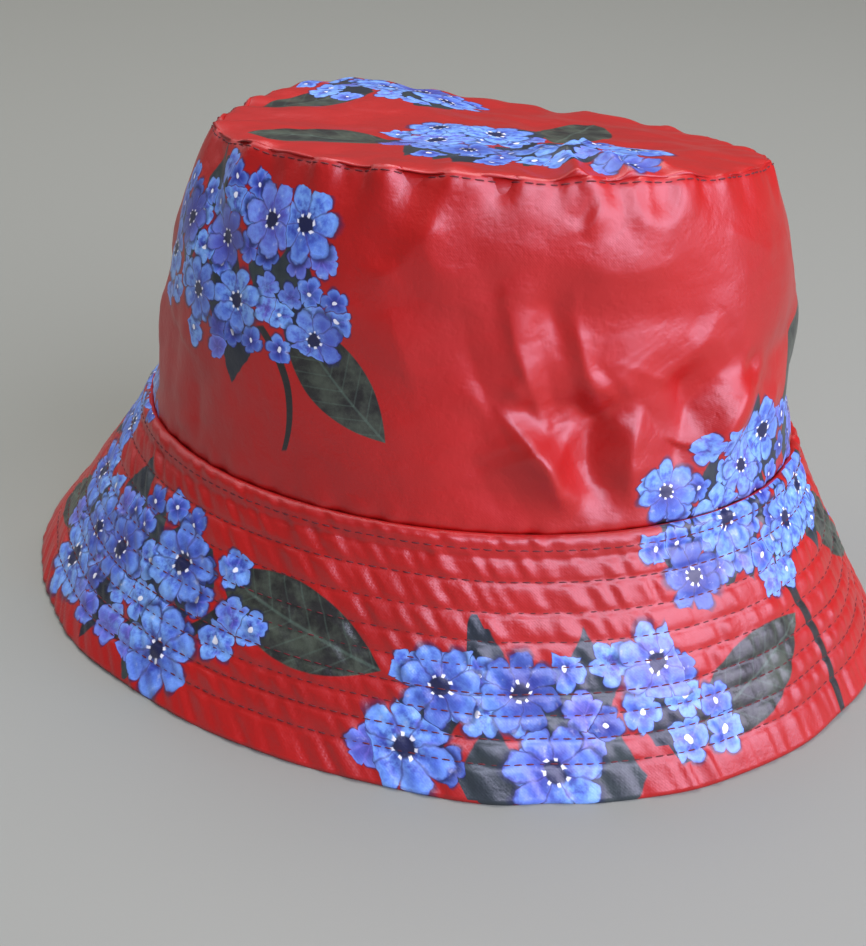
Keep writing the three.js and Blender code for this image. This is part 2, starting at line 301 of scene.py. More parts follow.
EDGE_RADIUS = 0.5  # mm, how sharp a crest's edge is
FLANK_POWER = 1.25  # over 1, a flank starts steep at the crest and runs out flat
DRAWN_IN = 0.45  # how far the cloth round a crest is drawn in, for each mm that the crest stands out
CRESTS = [
    Crest(-62.5, 0.75, -59, 0.505, -52.5, 0.3, 20, 12, 8.5, 0.65),
    Crest(-51, 0.73, -48.5, 0.52, -44.5, 0.35, 24, 10, 8.5, 0.7),
    Crest(-63, 0.38, -55.5, 0.23, -50.5, 0.03, 9, 16, 6.6, 0.6),
    Crest(-36.5, 0.36, -40, 0.24, -38.5, 0.03, 18, 9, 7.6, 0.55),
    Crest(-12, 0.42, -22, 0.265, -24.5, 0.05, 18, 9, 7.4, 0.5),
    Crest(-46, 0.525, -37.5, 0.475, -24.5, 0.385, 30, 13, 4.6, 0.5),
    Crest(-50.5, 0.845, -44, 0.75, -27.5, 0.82, 24, 14, 3, 0.5),
    Crest(-75, 0.84, -74, 0.76, -67, 0.77, 12, 9, 1.8, 0.45),
    Crest(-21.5, 0.625, -24, 0.57, -27.5, 0.505, 6, 5, 1.2, 0.5),
    Crest(-45.5, 0.985, -47, 0.905, -49.5, 0.845, 6, 3, 1.8, 0.6),
    Crest(-40, 1, -39.5, 0.91, -37, 0.825, 5, 4, 1, 0.5),
    Crest(-30, 0.985, -31, 0.925, -33.5, 0.85, 7, 4, 1.6, 0.5),
    Crest(-2, 0.34, -4.5, 0.285, -8, 0.25, 8, 8, 1.5, 0.5),
    Crest(-116, 0.69, -109, 0.6, -103, 0.44, 16, 9, 1.8, 0.55),
    Crest(-122, 0.72, -118, 0.61, -113, 0.47, 10, 8, 1.6, 0.55),
    Crest(-81, 0.63, -79, 0.53, -76, 0.41, 16, 16, 2.4, 0.5),
    Crest(52, 0.8, 60, 0.55, 58, 0.3, 18, 9, 4.6, 0.5),
    Crest(74, 0.62, 80, 0.4, 90, 0.16, 20, 10, 6, 0.6),
    Crest(104, 0.86, 112, 0.62, 108, 0.34, 18, 10, 7.5, 0.6),
    Crest(130, 0.56, 138, 0.32, 152, 0.12, 20, 10, 7, 0.5),
    Crest(172, 0.84, 176, 0.62, 170, 0.4, 18, 10, 6, 0.5),
    Crest(-140, 0.5, -142, 0.34, -138, 0.1, 16, 9, 3.4, 0.5),
    Crest(-154, 0.86, -159, 0.66, -155, 0.45, 17, 9, 5.2, 0.55),
    Crest(-164, 0.62, -160, 0.4, -166, 0.18, 18, 9, 4.4, 0.5),
    Crest(-178, 0.4, -172, 0.24, -170, 0.05, 14, 9, 3.8, 0.5),
    Crest(152, 0.78, 158, 0.52, 150, 0.28, 18, 10, 7.5, 0.5),
    Crest(118, 0.36, 122, 0.22, 124, 0.05, 14, 9, 5, 0.5),
    Crest(84, 0.9, 91, 0.72, 88, 0.5, 16, 9, 5.5, 0.5),
]


def bent_path(crest, stretches=10):
    """The crest's line through its three places, as angles and rises."""
    share = np.linspace(0, 1, stretches + 1)
    first, middle, last = (1 - share) * (1 - 2 * share), 4 * share * (1 - share), share * (2 * share - 1)
    angle = first * crest.angle + middle * crest.mid_angle + last * crest.to_angle
    return angle, first * crest.rise + middle * crest.mid_rise + last * crest.to_rise


def crest_height(point, angle, rise, crest):
    """How far one crest lifts each point: a gentle flank on one side and a steep one on the other."""
    path_angle, path_rise = bent_path(crest)
    path = smooth_crown(path_angle, path_rise)
    least = np.full(point.shape[:-1], np.inf)
    reached, sided = np.zeros_like(least), np.zeros_like(least)
    for k, (start, end) in enumerate(zip(path[:-1], path[1:])):
        along = end - start
        share = np.clip((point - start) @ along / (along @ along), 0, 1)
        away = np.linalg.norm(point - start - share[..., None] * along, axis=-1)
        nearer = away < least
        turned = (angle - path_angle[k] + 180) % 360 - 180
        across = (path_angle[k + 1] - path_angle[k]) * (rise - path_rise[k])
        across = (across - (path_rise[k + 1] - path_rise[k]) * turned) * DEGREE_ROUND * SIDE_HEIGHT
        least = np.where(nearer, away, least)
        reached = np.where(nearer, (k + share) / (len(path) - 1), reached)
        sided = np.where(nearer, across, sided)
    flank = np.where(sided > 0, crest.gentle, crest.steep)
    blunted = np.sqrt(least**2 + EDGE_RADIUS**2) - EDGE_RADIUS
    slope = np.clip(1 - blunted / flank, 0, 1) ** FLANK_POWER
    part_way = np.minimum(reached / crest.peak, (1 - reached) / (1 - crest.peak))
    drawn_in = DRAWN_IN * hill(least / (crest.gentle + crest.steep) * 1.3)
    return crest.height * np.sin(part_way * math.pi / 2) * (slope - drawn_in)


def crests_at(point, angle, rise):
    height = np.zeros(point.shape[:-1])
    for crest in CRESTS:
        height += crest_height(point, angle, rise, crest)
    return height


print(len(CRESTS), "crests, the highest", max(crest.height for crest in CRESTS), "mm")

# %% [markdown]
# ## Fine wrinkles
# Between the large folds the coating is full of small creases and soft hollows. Sculpting them would
# take long and couldn't be repeated, so they come from numbers: soft hollows are a sum of many waves
# that run in all directions, and creases are short folds thrown at random over the crown. Each
# random generator has a seed, so every run gives the same hat.

# %% Soft hollows and small creases
def ripple(point, wavelength, seed, waves=28):
    """Smooth unevenness between about -1 and 1 whose hollows are half a wavelength wide."""
    chance = np.random.default_rng(seed)
    headings = unit(chance.normal(size=(waves, 3)))
    lengths = wavelength * chance.uniform(0.7, 1.5, waves)
    starts = chance.uniform(0, 2 * math.pi, waves)
    total = np.zeros(point.shape[:-1])
    for heading, length, start in zip(headings, lengths, starts):
        total += np.sin(point @ heading * (2 * math.pi / length) + start)
    return total / math.sqrt(waves)


def scattered_folds(count, seed):
    """Short creases all over the crown, most of them slanting."""
    chance = np.random.default_rng(seed)
    folds = []
    for _ in range(count):
        angle, rise = chance.uniform(-180, 180), chance.uniform(0.06, 0.95)
        to_angle = angle + chance.uniform(-14, 14)
        to_rise = min(0.98, max(0.04, rise + chance.uniform(-0.3, 0.3)))
        depth = chance.uniform(0.25, 0.9) * chance.choice([-1, 1])
        folds.append(Fold(angle, rise, to_angle, to_rise, chance.uniform(1.6, 4), depth))
    return folds


def facets(across, up, wavelength, seed, families=5):
    """Flat facets between straight creases: pleats in several slanting directions that come and go."""
    chance = np.random.default_rng(seed)
    line = np.stack([across, up, 0 * up], -1)
    bend = 5 * ripple(line, 70, seed + 1)
    total = 0 * up
    for family in range(families):
        heading = math.radians(chance.uniform(25, 75) * chance.choice([-1, 1]))
        length = wavelength * chance.uniform(0.7, 1.5)
        run = (across * math.sin(heading) + up * math.cos(heading) + bend) / length + chance.uniform(0, 1)
        pleat = 4 * np.abs(run % 1 - 0.5) - 1
        presence = np.clip(0.4 + ripple(line, 75, seed + 10 + family), 0, 1.4)
        total = total + pleat * presence
    return total / families


SMALL_FOLDS = scattered_folds(110, seed=11)
print(len(SMALL_FOLDS), "small creases")

# %% [markdown]
# ## From grids to meshes
# A sewn piece is a wall: an outer face, an inner face, and the edges between them. Seen in section it
# is a closed loop, so a piece that goes round the hat is a grid of such loops, joined column to
# column with quads. The flat tip is a grid that ends in a middle point. Each mesh also gets a UV map
# in millimetres on the cloth, named "print": the finish reads its pattern from there.

# %% Mesh helpers
PRINTED, PLAIN = 0, 1  # the two finishes of each cloth piece, in the order of its list


def surface_normals(points):
    """The outward direction at each point of a grid whose columns go round the hat and rows upwards."""
    round_way = np.roll(points, -1, axis=0) - np.roll(points, 1, axis=0)
    return unit(np.cross(round_way, np.gradient(points, axis=1)))


def grid_quads(columns, rows, loop=False):
    """Quads of a grid of points that is closed round the hat, and with loop also from top to bottom."""
    i, k = grid_of(np.arange(columns), np.arange(rows if loop else rows - 1))
    j, m = (i + 1) % columns, (k + 1) % rows
    return np.stack([i * rows + k, j * rows + k, j * rows + m, i * rows + m], -1).reshape(-1, 4)


def lifted(point, height):
    """A grid of points, each moved so far along its own outward direction."""
    return point + surface_normals(point) * height[..., None]


def make_mesh(name, points, faces, corner_places, face_finish):
    """A mesh object from points in mm, faces, a print place for each corner, and a finish per face."""
    mesh = bpy.data.meshes.new(name)
    mesh.from_pydata(((points - np.array(FOOTPRINT_MIDDLE)) * MILLIMETRE).tolist(), [], faces)
    print_map = mesh.uv_layers.new(name="print").data
    print_map.foreach_set("uv", np.asarray(corner_places, dtype=np.float32).ravel())
    mesh.polygons.foreach_set("material_index", np.asarray(face_finish, dtype=np.int32))
    mesh.polygons.foreach_set("use_smooth", np.ones(len(faces), dtype=bool))
    mesh.update()
    thing = add_object(name, mesh)
    print(f"{name}: {len(points)} points, {sum(len(face) - 2 for face in faces)} triangles")
    return thing


def ring_mesh(name, loops, places, row_finish):
    """A closed wall round the hat. loops is columns x rows x 3, and places has one column more."""
    columns, rows = loops.shape[:2]
    faces = grid_quads(columns, rows, loop=True)
    i, k = faces[:, 0] // rows, faces[:, 0] % rows
    m = (k + 1) % rows
    corners = np.stack([places[i, k], places[i + 1, k], places[i + 1, m], places[i, m]], 1)
    finish = np.broadcast_to(row_finish, (columns, rows))
    return make_mesh(name, loops.reshape(-1, 3), faces.tolist(), corners.reshape(-1, 2), finish.ravel())

# %% [markdown]
# ## The print's map
# The print runs over side and brim as one picture, so both share one map: the distance round the hat,
# measured at the brim's seam, and the distance up or down from that seam. Towards the brim's edge the
# hat gets wider. If the map only counted distance there, the flowers would be stretched sideways, so
# it shrinks the slope by the same share, and a round flower stays round.

# %% Print places
HEAD_RADIUS = 96.3  # of the brim's seam
BRIM_SLOPE = 70.0  # from seam to edge
CONE_RADIUS = 212.0  # the brim's seam, if the brim were cut from a flat ring
SIDE_TO_PRINT = 1.07  # the side's narrowing towards the tip, taken into its height


def side_places(angle, rise):
    low, high = smooth_side(angle, np.zeros_like(angle)), smooth_side(angle, np.ones_like(angle))
    height = np.linalg.norm(high - low, axis=-1)
    return np.stack([np.radians(angle) * HEAD_RADIUS, rise * height * SIDE_TO_PRINT], -1)


def brim_places(angle, distance):
    down = -CONE_RADIUS * np.log(1 + distance / CONE_RADIUS)
    return np.stack([np.radians(angle) * HEAD_RADIUS, down], -1)


print("print length round the hat:", round(2 * math.pi * HEAD_RADIUS), "mm")

# %% [markdown]
# ## The side
# The side's cloth has the folds and crests above, and on top of them fine relief: soft hollows, small
# creases, and close puckers next to both seams, where the thread draws the cloth together. At each seam
# the cloth turns down into a groove. The relief could be a bump in the finish alone, but then the outline
# would stay smooth and no fold could shade its neighbour, so all but the finest of it is real.

# %% Side of the crown
CLOTH = 1.3  # thickness of the crown's cloth


def folded_side(angle, rise):
    """The side with its folds and crests."""
    smooth = smooth_crown(angle, rise)
    height = freed(rise) * crests_at(smooth, angle, rise)
    return crown_point(angle, rise) + unit(smooth - BODY_CENTRE) * height[..., None]


def puckers(length_along, from_seam, wavelength, depth, reach, seed):
    """Close waves along a seam that die out within their reach."""
    line = np.stack([length_along, 0 * length_along, 0 * length_along], -1)
    return depth * ripple(line, wavelength, seed, waves=14) * hill(from_seam / reach)


def front_share(angle):
    """How strongly the tip's seam is puckered: fully at the front, and about a third at the back."""
    return 0.35 + 0.65 * near(angle, -70, 75)


def groove(from_seam, depth, half_width):
    return depth * hill(from_seam / half_width)


def side_relief(angle, rise, point):
    """How far the fine relief lifts the side's cloth."""
    from_brim = rise * SIDE_HEIGHT
    from_tip = SIDE_HEIGHT - from_brim
    along = np.radians(angle) * HEAD_RADIUS
    crumpled = 1 - 0.7 * near(angle, -96, 20)
    relief = 0.2 * ripple(point, wavelength=26, seed=3) + 0.06 * ripple(point, wavelength=9, seed=4)
    relief -= crumpled * 0.4 * folds_at(point, SMALL_FOLDS, crest)
    wide = puckers(along, from_tip, wavelength=13, depth=0.9, reach=8, seed=25)
    close = puckers(along, from_tip, wavelength=6, depth=0.35, reach=5, seed=5)
    relief += front_share(angle) * (wide + close)
    relief += puckers(along, from_brim, wavelength=5, depth=0.3, reach=4, seed=6)
    return relief - groove(from_tip, 0.6, 1.3) - groove(from_brim, 0.5, 1.0)


def side_surface(angle, rise):
    """The outer face with all its relief, for a whole grid."""
    point = folded_side(angle, rise)
    return lifted(point, side_relief(angle, rise, point))


SIDE_COLUMNS, SIDE_ROWS, SIDE_INNER_ROWS = 640, 116, 26
side_angles = all_round(SIDE_COLUMNS)
up_side = np.linspace(0, 1, SIDE_ROWS)
down_side = np.linspace(1, 0, SIDE_INNER_ROWS)
turn, rise = grid_of(side_angles, up_side)
side_outer = side_surface(turn, rise)
turn, rise = grid_of(side_angles, down_side)
inner_face = folded_side(turn, rise)
side_inner = inner_face + surface_normals(inner_face) * CLOTH
turn, rise = grid_of(np.append(side_angles, 180.0), np.concatenate([up_side, down_side]))
row_finish = [PRINTED] * (SIDE_ROWS - 1) + [PLAIN] * (SIDE_INNER_ROWS + 1)
side_loops = np.concatenate([side_outer, side_inner], 1)
side = ring_mesh("side_cloth", side_loops, side_places(turn, rise), row_finish)

# %% [markdown]
# ## The tip
# The tip is a flat oval of the same cloth that slumps to the back. Near the front right the side has
# been pushed up against it, which leaves two sharp pleats that run in from the seam. They are narrow
# folds like the others, from a table of their own.

# %% Tip of the crown
TIP_REACH, TIP_RADIUS = 78, 80  # mm from seam to middle, and of the seam's round for the puckers
TIP_PLEATS = [
    Fold(-50, 1.0, -46, 1.28, 2.4, -2.8),
    Fold(-46, 1.28, -41, 1.34, 1.9, -2.4),
    Fold(-41, 1.34, -39.5, 1.02, 2.2, -2.8),
    Fold(-38.5, 1.14, -35, 1.40, 2.0, -2.4),
    Fold(-35, 1.40, -29, 1.08, 2.2, -2.4),
]


def tip_relief(angle, rise, point):
    from_seam = (rise - 1) * TIP_REACH
    along = np.radians(angle) * TIP_RADIUS
    relief = 0.3 * ripple(point, wavelength=24, seed=7) + 0.1 * ripple(point, wavelength=9, seed=8)
    flat = facets(point[..., 0], point[..., 1], wavelength=30, seed=22)
    relief += 1.6 * flat * np.minimum(1, from_seam / 8)
    relief -= folds_at(point, TIP_PLEATS, crest)
    relief += front_share(angle) * puckers(along, from_seam, wavelength=6.5, depth=0.35, reach=5, seed=9)
    return relief - groove(from_seam, 0.6, 1.3)


def tip_surface(angle, rise):
    point = crown_point(angle, rise)
    return lifted(point, tip_relief(angle, rise, point))


def tip_places(angle, rise):
    return smooth_tip(angle, rise)[..., :2]


# %% A lid with a middle point
def lid_mesh(name, profile, places, middles, middle_place, row_finish):
    """A lid: its profile runs from under the middle out to the rim and back in over it."""
    columns, rows = profile.shape[:2]
    here, after = np.arange(columns), (np.arange(columns) + 1) % columns
    under, over = columns * rows, columns * rows + 1
    low_fan = np.stack([after * rows, here * rows, np.full(columns, under)], -1)
    high_fan = np.stack([here * rows + rows - 1, after * rows + rows - 1, np.full(columns, over)], -1)
    points = np.concatenate([profile.reshape(-1, 3), middles])
    point_places = np.concatenate([places.reshape(-1, 2), middle_place, middle_place])
    faces = grid_quads(columns, rows).tolist() + low_fan.tolist() + high_fan.tolist()
    corner_places = point_places[[corner for face in faces for corner in face]]
    wall_finish = np.broadcast_to(row_finish, (columns, rows - 1)).ravel()
    finish = np.concatenate([wall_finish, np.full(columns, PLAIN), np.full(columns, PRINTED)])
    return make_mesh(name, points, faces, corner_places, finish)


TIP_COLUMNS = 540
tip_angles = all_round(TIP_COLUMNS)
TIP_RINGS, TIP_INNER_RINGS = 64, 14
over_rises = np.linspace(1, 1.985, TIP_RINGS)
under_rises = np.linspace(1.97, 1, TIP_INNER_RINGS)
turn, rise = grid_of(tip_angles, over_rises)
tip_over = tip_surface(turn, rise)
tip_over_map = tip_places(turn, rise)
turn, rise = grid_of(tip_angles, under_rises)
tip_under = crown_point(turn, rise) - np.array([0, 0, CLOTH])
tip_under_map = tip_places(turn, rise)
tip_under[:, -1] -= outwards(tip_angles) * CLOTH
middle_over = crown_point(np.array([0.0]), np.array([2.0])) + np.array([0, 0, 0.2])
middle_under = middle_over - np.array([0, 0, CLOTH])
middle_place = np.array([[TIP_SEAM.middle_x, TIP_SEAM.middle_y]])
tip = lid_mesh(
    "tip_cloth",
    np.concatenate([tip_under, tip_over], 1),
    np.concatenate([tip_under_map, tip_over_map], 1),
    np.concatenate([middle_under, middle_over]),
    middle_place,
    [PLAIN] * TIP_INNER_RINGS + [PRINTED] * (TIP_RINGS - 1),
)

# %% [markdown]
# ## The brim
# The brim is two plies of cloth with a soft layer between them. It is held flat by rows of stitches
# that run right round. Each row pulls the plies together in a groove and leaves a pad on both sides.
# The band next to the crown is a lap of two more plies: it ends in a step with a row of stitches on
# it. Quilting by machine drags the top ply a little, so every pad is full of ripples that run down
# the slope. Along the edge the plies are turned over a cord-like hem and roll under.

# %% Brim
Wave = namedtuple("Wave", "angle spread depth")

BRIM_PLIES = 2.4  # thickness of both plies together
BRIM_FLARE = 0.5  # how far the slope hangs in between seam and edge
FLOOR_PRESS = 0.5  # how far the hat's weight lowers the edge
LAP_ROW, LAP_END = 4.2, 5.2  # the lap's row of stitches and its step, in mm from the seam
QUILT_ROWS = [12.5, 20.5, 28.0, 34.5, 41.5, 47.0, 53.0, 59.5]
STITCHED = np.array([LAP_ROW, *QUILT_ROWS])
WIDENING = 0.55  # how much the brim's radius grows with each mm down the slope
BAND_SHIFT = 7  # mm round the hat, so that no ripple runs on from one band into the next
BRIM_WAVES = [
    Wave(-56, 4, 1.6),
    Wave(-38, 7, -1.2),
    Wave(-92, 6, 1.2),
    Wave(-124, 7, -1.4),
    Wave(-168, 22, -2),
    Wave(-8, 6, 1.3),
    Wave(48, 9, -1.4),
    Wave(88, 7, 1.5),
    Wave(132, 8, 1.4),
]


def brim_point(angle, distance):
    """The smooth upper face, so many mm down the slope from the seam."""
    share = distance / BRIM_SLOPE
    low, high = on_oval(BRIM_SEAM, angle), on_oval(BRIM_EDGE, angle, BRIM_EDGE_SWAYS)
    inset = BRIM_FLARE * 4 * share * (1 - share)
    for wave in BRIM_WAVES:
        inset = inset + wave.depth * near(angle, wave.angle, wave.spread) * share
    return low + (high - low) * share[..., None] - outwards(angle) * inset[..., None]


def from_stitches(distance):
    """How far each place on the slope lies from the nearest row."""
    return np.abs(distance[..., None] - STITCHED).min(-1)


def brim_relief(angle, distance, point):
    """How far pads, ripples and the lap lift the upper ply, with calmer cloth at the left."""
    pad = 1 - np.exp(-from_stitches(distance) / 0.9)
    band = (distance[..., None] > STITCHED).sum(-1)
    round_way = np.radians(angle) * (HEAD_RADIUS + WIDENING * distance) + BAND_SHIFT * band
    down_slope = np.stack([round_way, 0.15 * distance, 0 * angle], -1)
    calm = 1 - 0.5 * near(angle, 178, 34)
    relief = 0.7 * pad + 0.30 * calm * pad * ripple(down_slope, wavelength=4.2, seed=13)
    relief += 0.22 * hill((distance - 6) / 1.6) * ripple(down_slope, wavelength=4.2, seed=14)
    relief += 0.20 * calm * pad * facets(round_way, 3 * distance, wavelength=22, seed=23)
    relief += 0.2 * ripple(point, wavelength=22, seed=15)
    relief += 1.0 / (1 + np.exp((distance - LAP_END) / 0.3)) - 0.3 * hill((distance - 6.4) / 0.9)
    return relief - groove(distance, 0.9, 0.9)


def brim_surface(angle, distance):
    """The quilted upper face. Its rows run down the slope, so the normals point in and the sign turns."""
    point = brim_point(angle, distance)
    return lifted(point, -brim_relief(angle, distance, point))


BRIM_COLUMNS, BRIM_ROWS = 720, 84
ROLL_STEPS = 7
HEM = BRIM_PLIES / 2  # radius of the rolled edge
brim_angles = all_round(BRIM_COLUMNS)
down_brim = np.linspace(0, BRIM_SLOPE - HEM, BRIM_ROWS)


def brim_underside(angle, distance):
    """The lower ply, with a shallower groove for each row."""
    point = brim_point(angle, distance)
    pad = 0.35 * (1 - np.exp(-from_stitches(distance) / 1.5)) + 0.15 * ripple(point, 18, seed=16)
    return lifted(point, BRIM_PLIES + pad - 0.35)


def rolled_hem(angle):
    """Half a circle round the edge, from the lower ply to the upper one."""
    turn, distance = grid_of(angle, [BRIM_SLOPE - HEM - 1, BRIM_SLOPE - HEM])
    ends = brim_point(turn, distance)
    outward = -surface_normals(ends)[:, 1]
    down = unit(ends[:, 1] - ends[:, 0])
    middle = ends[:, 1] - outward * HEM
    swing = np.radians(np.linspace(-90, 90, ROLL_STEPS + 2)[1:-1])[None, :, None]
    return middle[:, None] + HEM * (np.sin(swing) * outward[:, None] + np.cos(swing) * down[:, None])


def on_the_floor(points):
    """The floor presses the lowest cloth flat."""
    points[..., 2] -= FLOOR_PRESS * np.clip(1 - points[..., 2] / BRIM_SEAM.height, 0, 1)
    points[..., 2] = np.maximum(points[..., 2], 0)
    return points


turn, distance = grid_of(brim_angles, down_brim)
upper_face = brim_surface(turn, distance)[:, ::-1]
turn, distance = grid_of(brim_angles, down_brim[::2])
lower_face = brim_underside(turn, distance)
loops = on_the_floor(np.concatenate([upper_face, lower_face, rolled_hem(brim_angles)], 1))
distances = np.concatenate([down_brim[::-1], down_brim[::2], np.full(ROLL_STEPS, BRIM_SLOPE)])
turn, distance = grid_of(np.append(brim_angles, 180.0), distances)
row_finish = [PRINTED] * (len(down_brim) - 1) + [PLAIN] * len(down_brim[::2])
row_finish += [PRINTED] * (ROLL_STEPS + 1)
brim = ring_mesh("brim_cloth", loops, brim_places(turn, distance), row_finish)

# %% [markdown]
# ## The stitches
# A machine stitch is a short thread that comes up, lies on the cloth and goes down again. Nearly four
# thousand of them could each be an object, but that would be slow to draw and to keep. One mesh per
# group holds them all: a small tapered thread is made once as numbers, then turned and moved to each
# place along a row. They lie in the grooves that the cloth already has.

# %% Threads
THREAD = 0.22  # radius of a thread
STITCH, PITCH = 2.6, 3.3  # length of a stitch, and from one to the next
LINE_STEPS = 1440  # points on the line of a row
TIP_ROW = 0.985  # where the tip's seam is stitched, as a rise up the side


def thread_template(sides=6):
    """One stitch along X: a bowed thread that narrows into the cloth at both ends."""
    along = np.array([-0.5, -0.4, -0.15, 0.15, 0.4, 0.5]) * STITCH
    thick = np.array([0.35, 0.85, 1, 1, 0.85, 0.35]) * THREAD
    lift = THREAD * (0.55 - 5.2 * (along / STITCH) ** 2)
    swing = np.arange(sides) * 2 * math.pi / sides
    ring = np.stack([0 * swing, np.cos(swing), np.sin(swing)], -1)
    points = (ring[None] * thick[:, None, None]).reshape(len(along), sides, 3)
    points[..., 0] += along[:, None]
    points[..., 2] += lift[:, None]
    faces = []
    for k in range(len(along) - 1):
        for i in range(sides):
            j = (i + 1) % sides
            faces.append([k * sides + j, (k + 1) * sides + j, (k + 1) * sides + i, k * sides + i])
    last = (len(along) - 1) * sides
    caps = [list(range(sides))[::-1], [last + i for i in range(sides)]]
    return points.reshape(-1, 3), faces, caps


def sew(name, rows):
    """One mesh with every stitch along the given rows, each a closed line of points and normals."""
    shape, sides, caps = thread_template()
    points, faces = [], []
    for line, outward in rows:
        steps = np.linalg.norm(np.roll(line, -1, axis=0) - line, axis=1)
        reached = np.concatenate([[0], np.cumsum(steps)])
        count = int(reached[-1] / PITCH)
        stops = np.arange(count) * reached[-1] / count
        at = [np.interp(stops, reached, np.append(line[:, c], line[0, c])) for c in range(3)]
        up = [np.interp(stops, reached, np.append(outward[:, c], outward[0, c])) for c in range(3)]
        at, up = np.stack(at, -1), unit(np.stack(up, -1))
        along = unit(np.roll(at, -1, axis=0) - np.roll(at, 1, axis=0))
        across = unit(np.cross(up, along))
        up = np.cross(along, across)
        for middle, x, y, z in zip(at, along, across, up):
            start = len(points) * len(shape)
            points.append(middle + shape @ np.stack([x, y, z]))
            faces += [[start + corner for corner in face] for face in sides + caps]
    points = np.concatenate(points)
    corners = sum(len(face) for face in faces)
    return make_mesh(name, points, faces, np.zeros((corners, 2)), np.zeros(len(faces)))


def row_on(surface, place, flip=1.0):
    """A closed line on a surface, and the surface's outward direction along it."""
    turn, rows = grid_of(all_round(LINE_STEPS), [place - 0.02, place, place + 0.02])
    grid = surface(turn, rows)
    return grid[:, 1], surface_normals(grid)[:, 1] * flip


upper_rows = [row_on(brim_surface, distance, flip=-1.0) for distance in STITCHED]
lower_rows = [row_on(brim_underside, distance) for distance in QUILT_ROWS]
brim_stitches = sew("brim_stitches", upper_rows)
underside_stitches = sew("underside_stitches", lower_rows)
tip_stitches = sew("tip_seam_stitches", [row_on(side_surface, TIP_ROW)])

# %% [markdown]
# ## Finishes written as sums
# A finish is a tree of shader nodes. Wiring nodes one by one hides the idea, so a small class wraps a
# socket: adding, multiplying or comparing two of them adds the Math node that does it. Every other
# node comes from one method. Colours and vectors never go through Math nodes, which would turn them
# grey, but through Mix and Vector Math.

# %% Shader sums
def operator(operation, flipped=False):
    """A method that adds one Math node."""

    def combined(self, *others):
        inputs = (*others, self) if flipped else (self, *others)
        return self.node("ShaderNodeMath", dict(enumerate(inputs)), operation=operation)

    return combined


def plug(node, inputs):
    """Sets a node's sockets: plain values as they are, and shades by a link."""
    for name, value in inputs.items():
        if isinstance(value, Shade):
            value.tree.links.new(value.socket, node.inputs[name])
        else:
            node.inputs[name].default_value = value


class Shade:
    """A value, colour or vector inside a finish."""

    def __init__(self, tree, socket):
        self.tree, self.socket = tree, socket

    __add__ = __radd__ = operator("ADD")
    __mul__ = __rmul__ = operator("MULTIPLY")
    __sub__ = operator("SUBTRACT")
    __rsub__ = operator("SUBTRACT", flipped=True)
    __truediv__ = operator("DIVIDE")
    __pow__ = operator("POWER")
    __abs__ = operator("ABSOLUTE")
    at_least = operator("MAXIMUM")
    at_most = operator("MINIMUM")
    below = operator("LESS_THAN")
    sine = operator("SINE")
    cosine = operator("COSINE")
    arctan2 = operator("ARCTAN2")

    def node(self, kind, inputs, output=0, stops=None, **settings):
        """Adds a node: its settings first, then the values or links of its sockets."""
        added = self.tree.nodes.new(kind)
        for setting, value in settings.items():
            setattr(added, setting, value)
        if stops:
            ramp = added.color_ramp
            while len(ramp.elements) < len(stops):
                ramp.elements.new(0.5)
            for element, (position, colour) in zip(ramp.elements, stops):
                element.position, element.color = position, (*colour, 1)
        plug(added, inputs)
        if isinstance(output, tuple):
            return [Shade(self.tree, added.outputs[one]) for one in output]
        return Shade(self.tree, added.outputs[output])

    def rising(self, low, high):
        """0 below low, 1 above high, and a soft step between."""
        inputs = {"Value": self, "From Min": low, "From Max": high}
        return self.node("ShaderNodeMapRange", inputs, interpolation_type="SMOOTHSTEP")

    def vector(self, operation, *others, output=0):
        inputs = dict(enumerate((self, *others)))
        return self.node("ShaderNodeVectorMath", inputs, output, operation=operation)

    def parts(self):
        return self.node("ShaderNodeSeparateXYZ", {"Vector": self}, (0, 1, 2))

    def colour(self, low, high):
        """The low colour where this value is 0, the high one where it is 1, and mixes between."""
        inputs = {"Factor": self, "A": low, "B": high}
        return self.node("ShaderNodeMix", inputs, "Result", data_type="RGBA")

    def blend(self, other, share):
        """This colour with a share of the other laid over it."""
        return share.colour(self, other)

# %% [markdown]
# ## The flowers of the print
# The print is a loose pattern of bouquets: wide blue blossoms with a dark eye, small five-petalled
# ones between them, and dark foliage under both. Painting it as an image would need a file and a
# fixed size. A Voronoi texture can scatter blossoms instead: it splits the cloth into cells and gives
# each point the place of its cell's middle. The angle and the distance from that middle draw the
# petals, and because the middle is the same all over a cell, a test on it keeps or drops a whole
# blossom: none is cut where its bouquet ends. The foliage is scattered alike, as small pointed dabs.

# %% Blossoms
Bouquet = namedtuple("Bouquet", "x y half_width half_height")
Blossom = namedtuple("Blossom", "petals spacing size shift fill eye")

WIDE_BLOSSOM = Blossom(petals=7, spacing=22, size=10.6, shift=211, fill=0.92, eye=0.19)
SMALL_BLOSSOM = Blossom(petals=5, spacing=9.0, size=5.2, shift=0, fill=0.85, eye=0)
PETALS = [
    (0.0, (0.015, 0.020, 0.16)),
    (0.34, (0.035, 0.060, 0.36)),
    (0.62, (0.075, 0.15, 0.60)),
    (0.88, (0.15, 0.29, 0.78)),
    (1.0, (0.045, 0.07, 0.34)),
]
INDIGO = (0.020, 0.028, 0.22, 1)
VIOLET = (0.20, 0.15, 0.62, 1)
SKY = (0.22, 0.45, 0.90, 1)
WHITE = (0.86, 0.84, 0.90, 1)
NAVY = (0.008, 0.012, 0.060, 1)
FOLIAGE_DARK = (0.008, 0.012, 0.022, 1)
FOLIAGE = (0.055, 0.080, 0.070, 1)
STAMENS = 7  # white dots round an eye
SCATTER, FOLIAGE_SCATTER = 0.6, 0.9  # how far blossoms and foliage stray from a regular grid
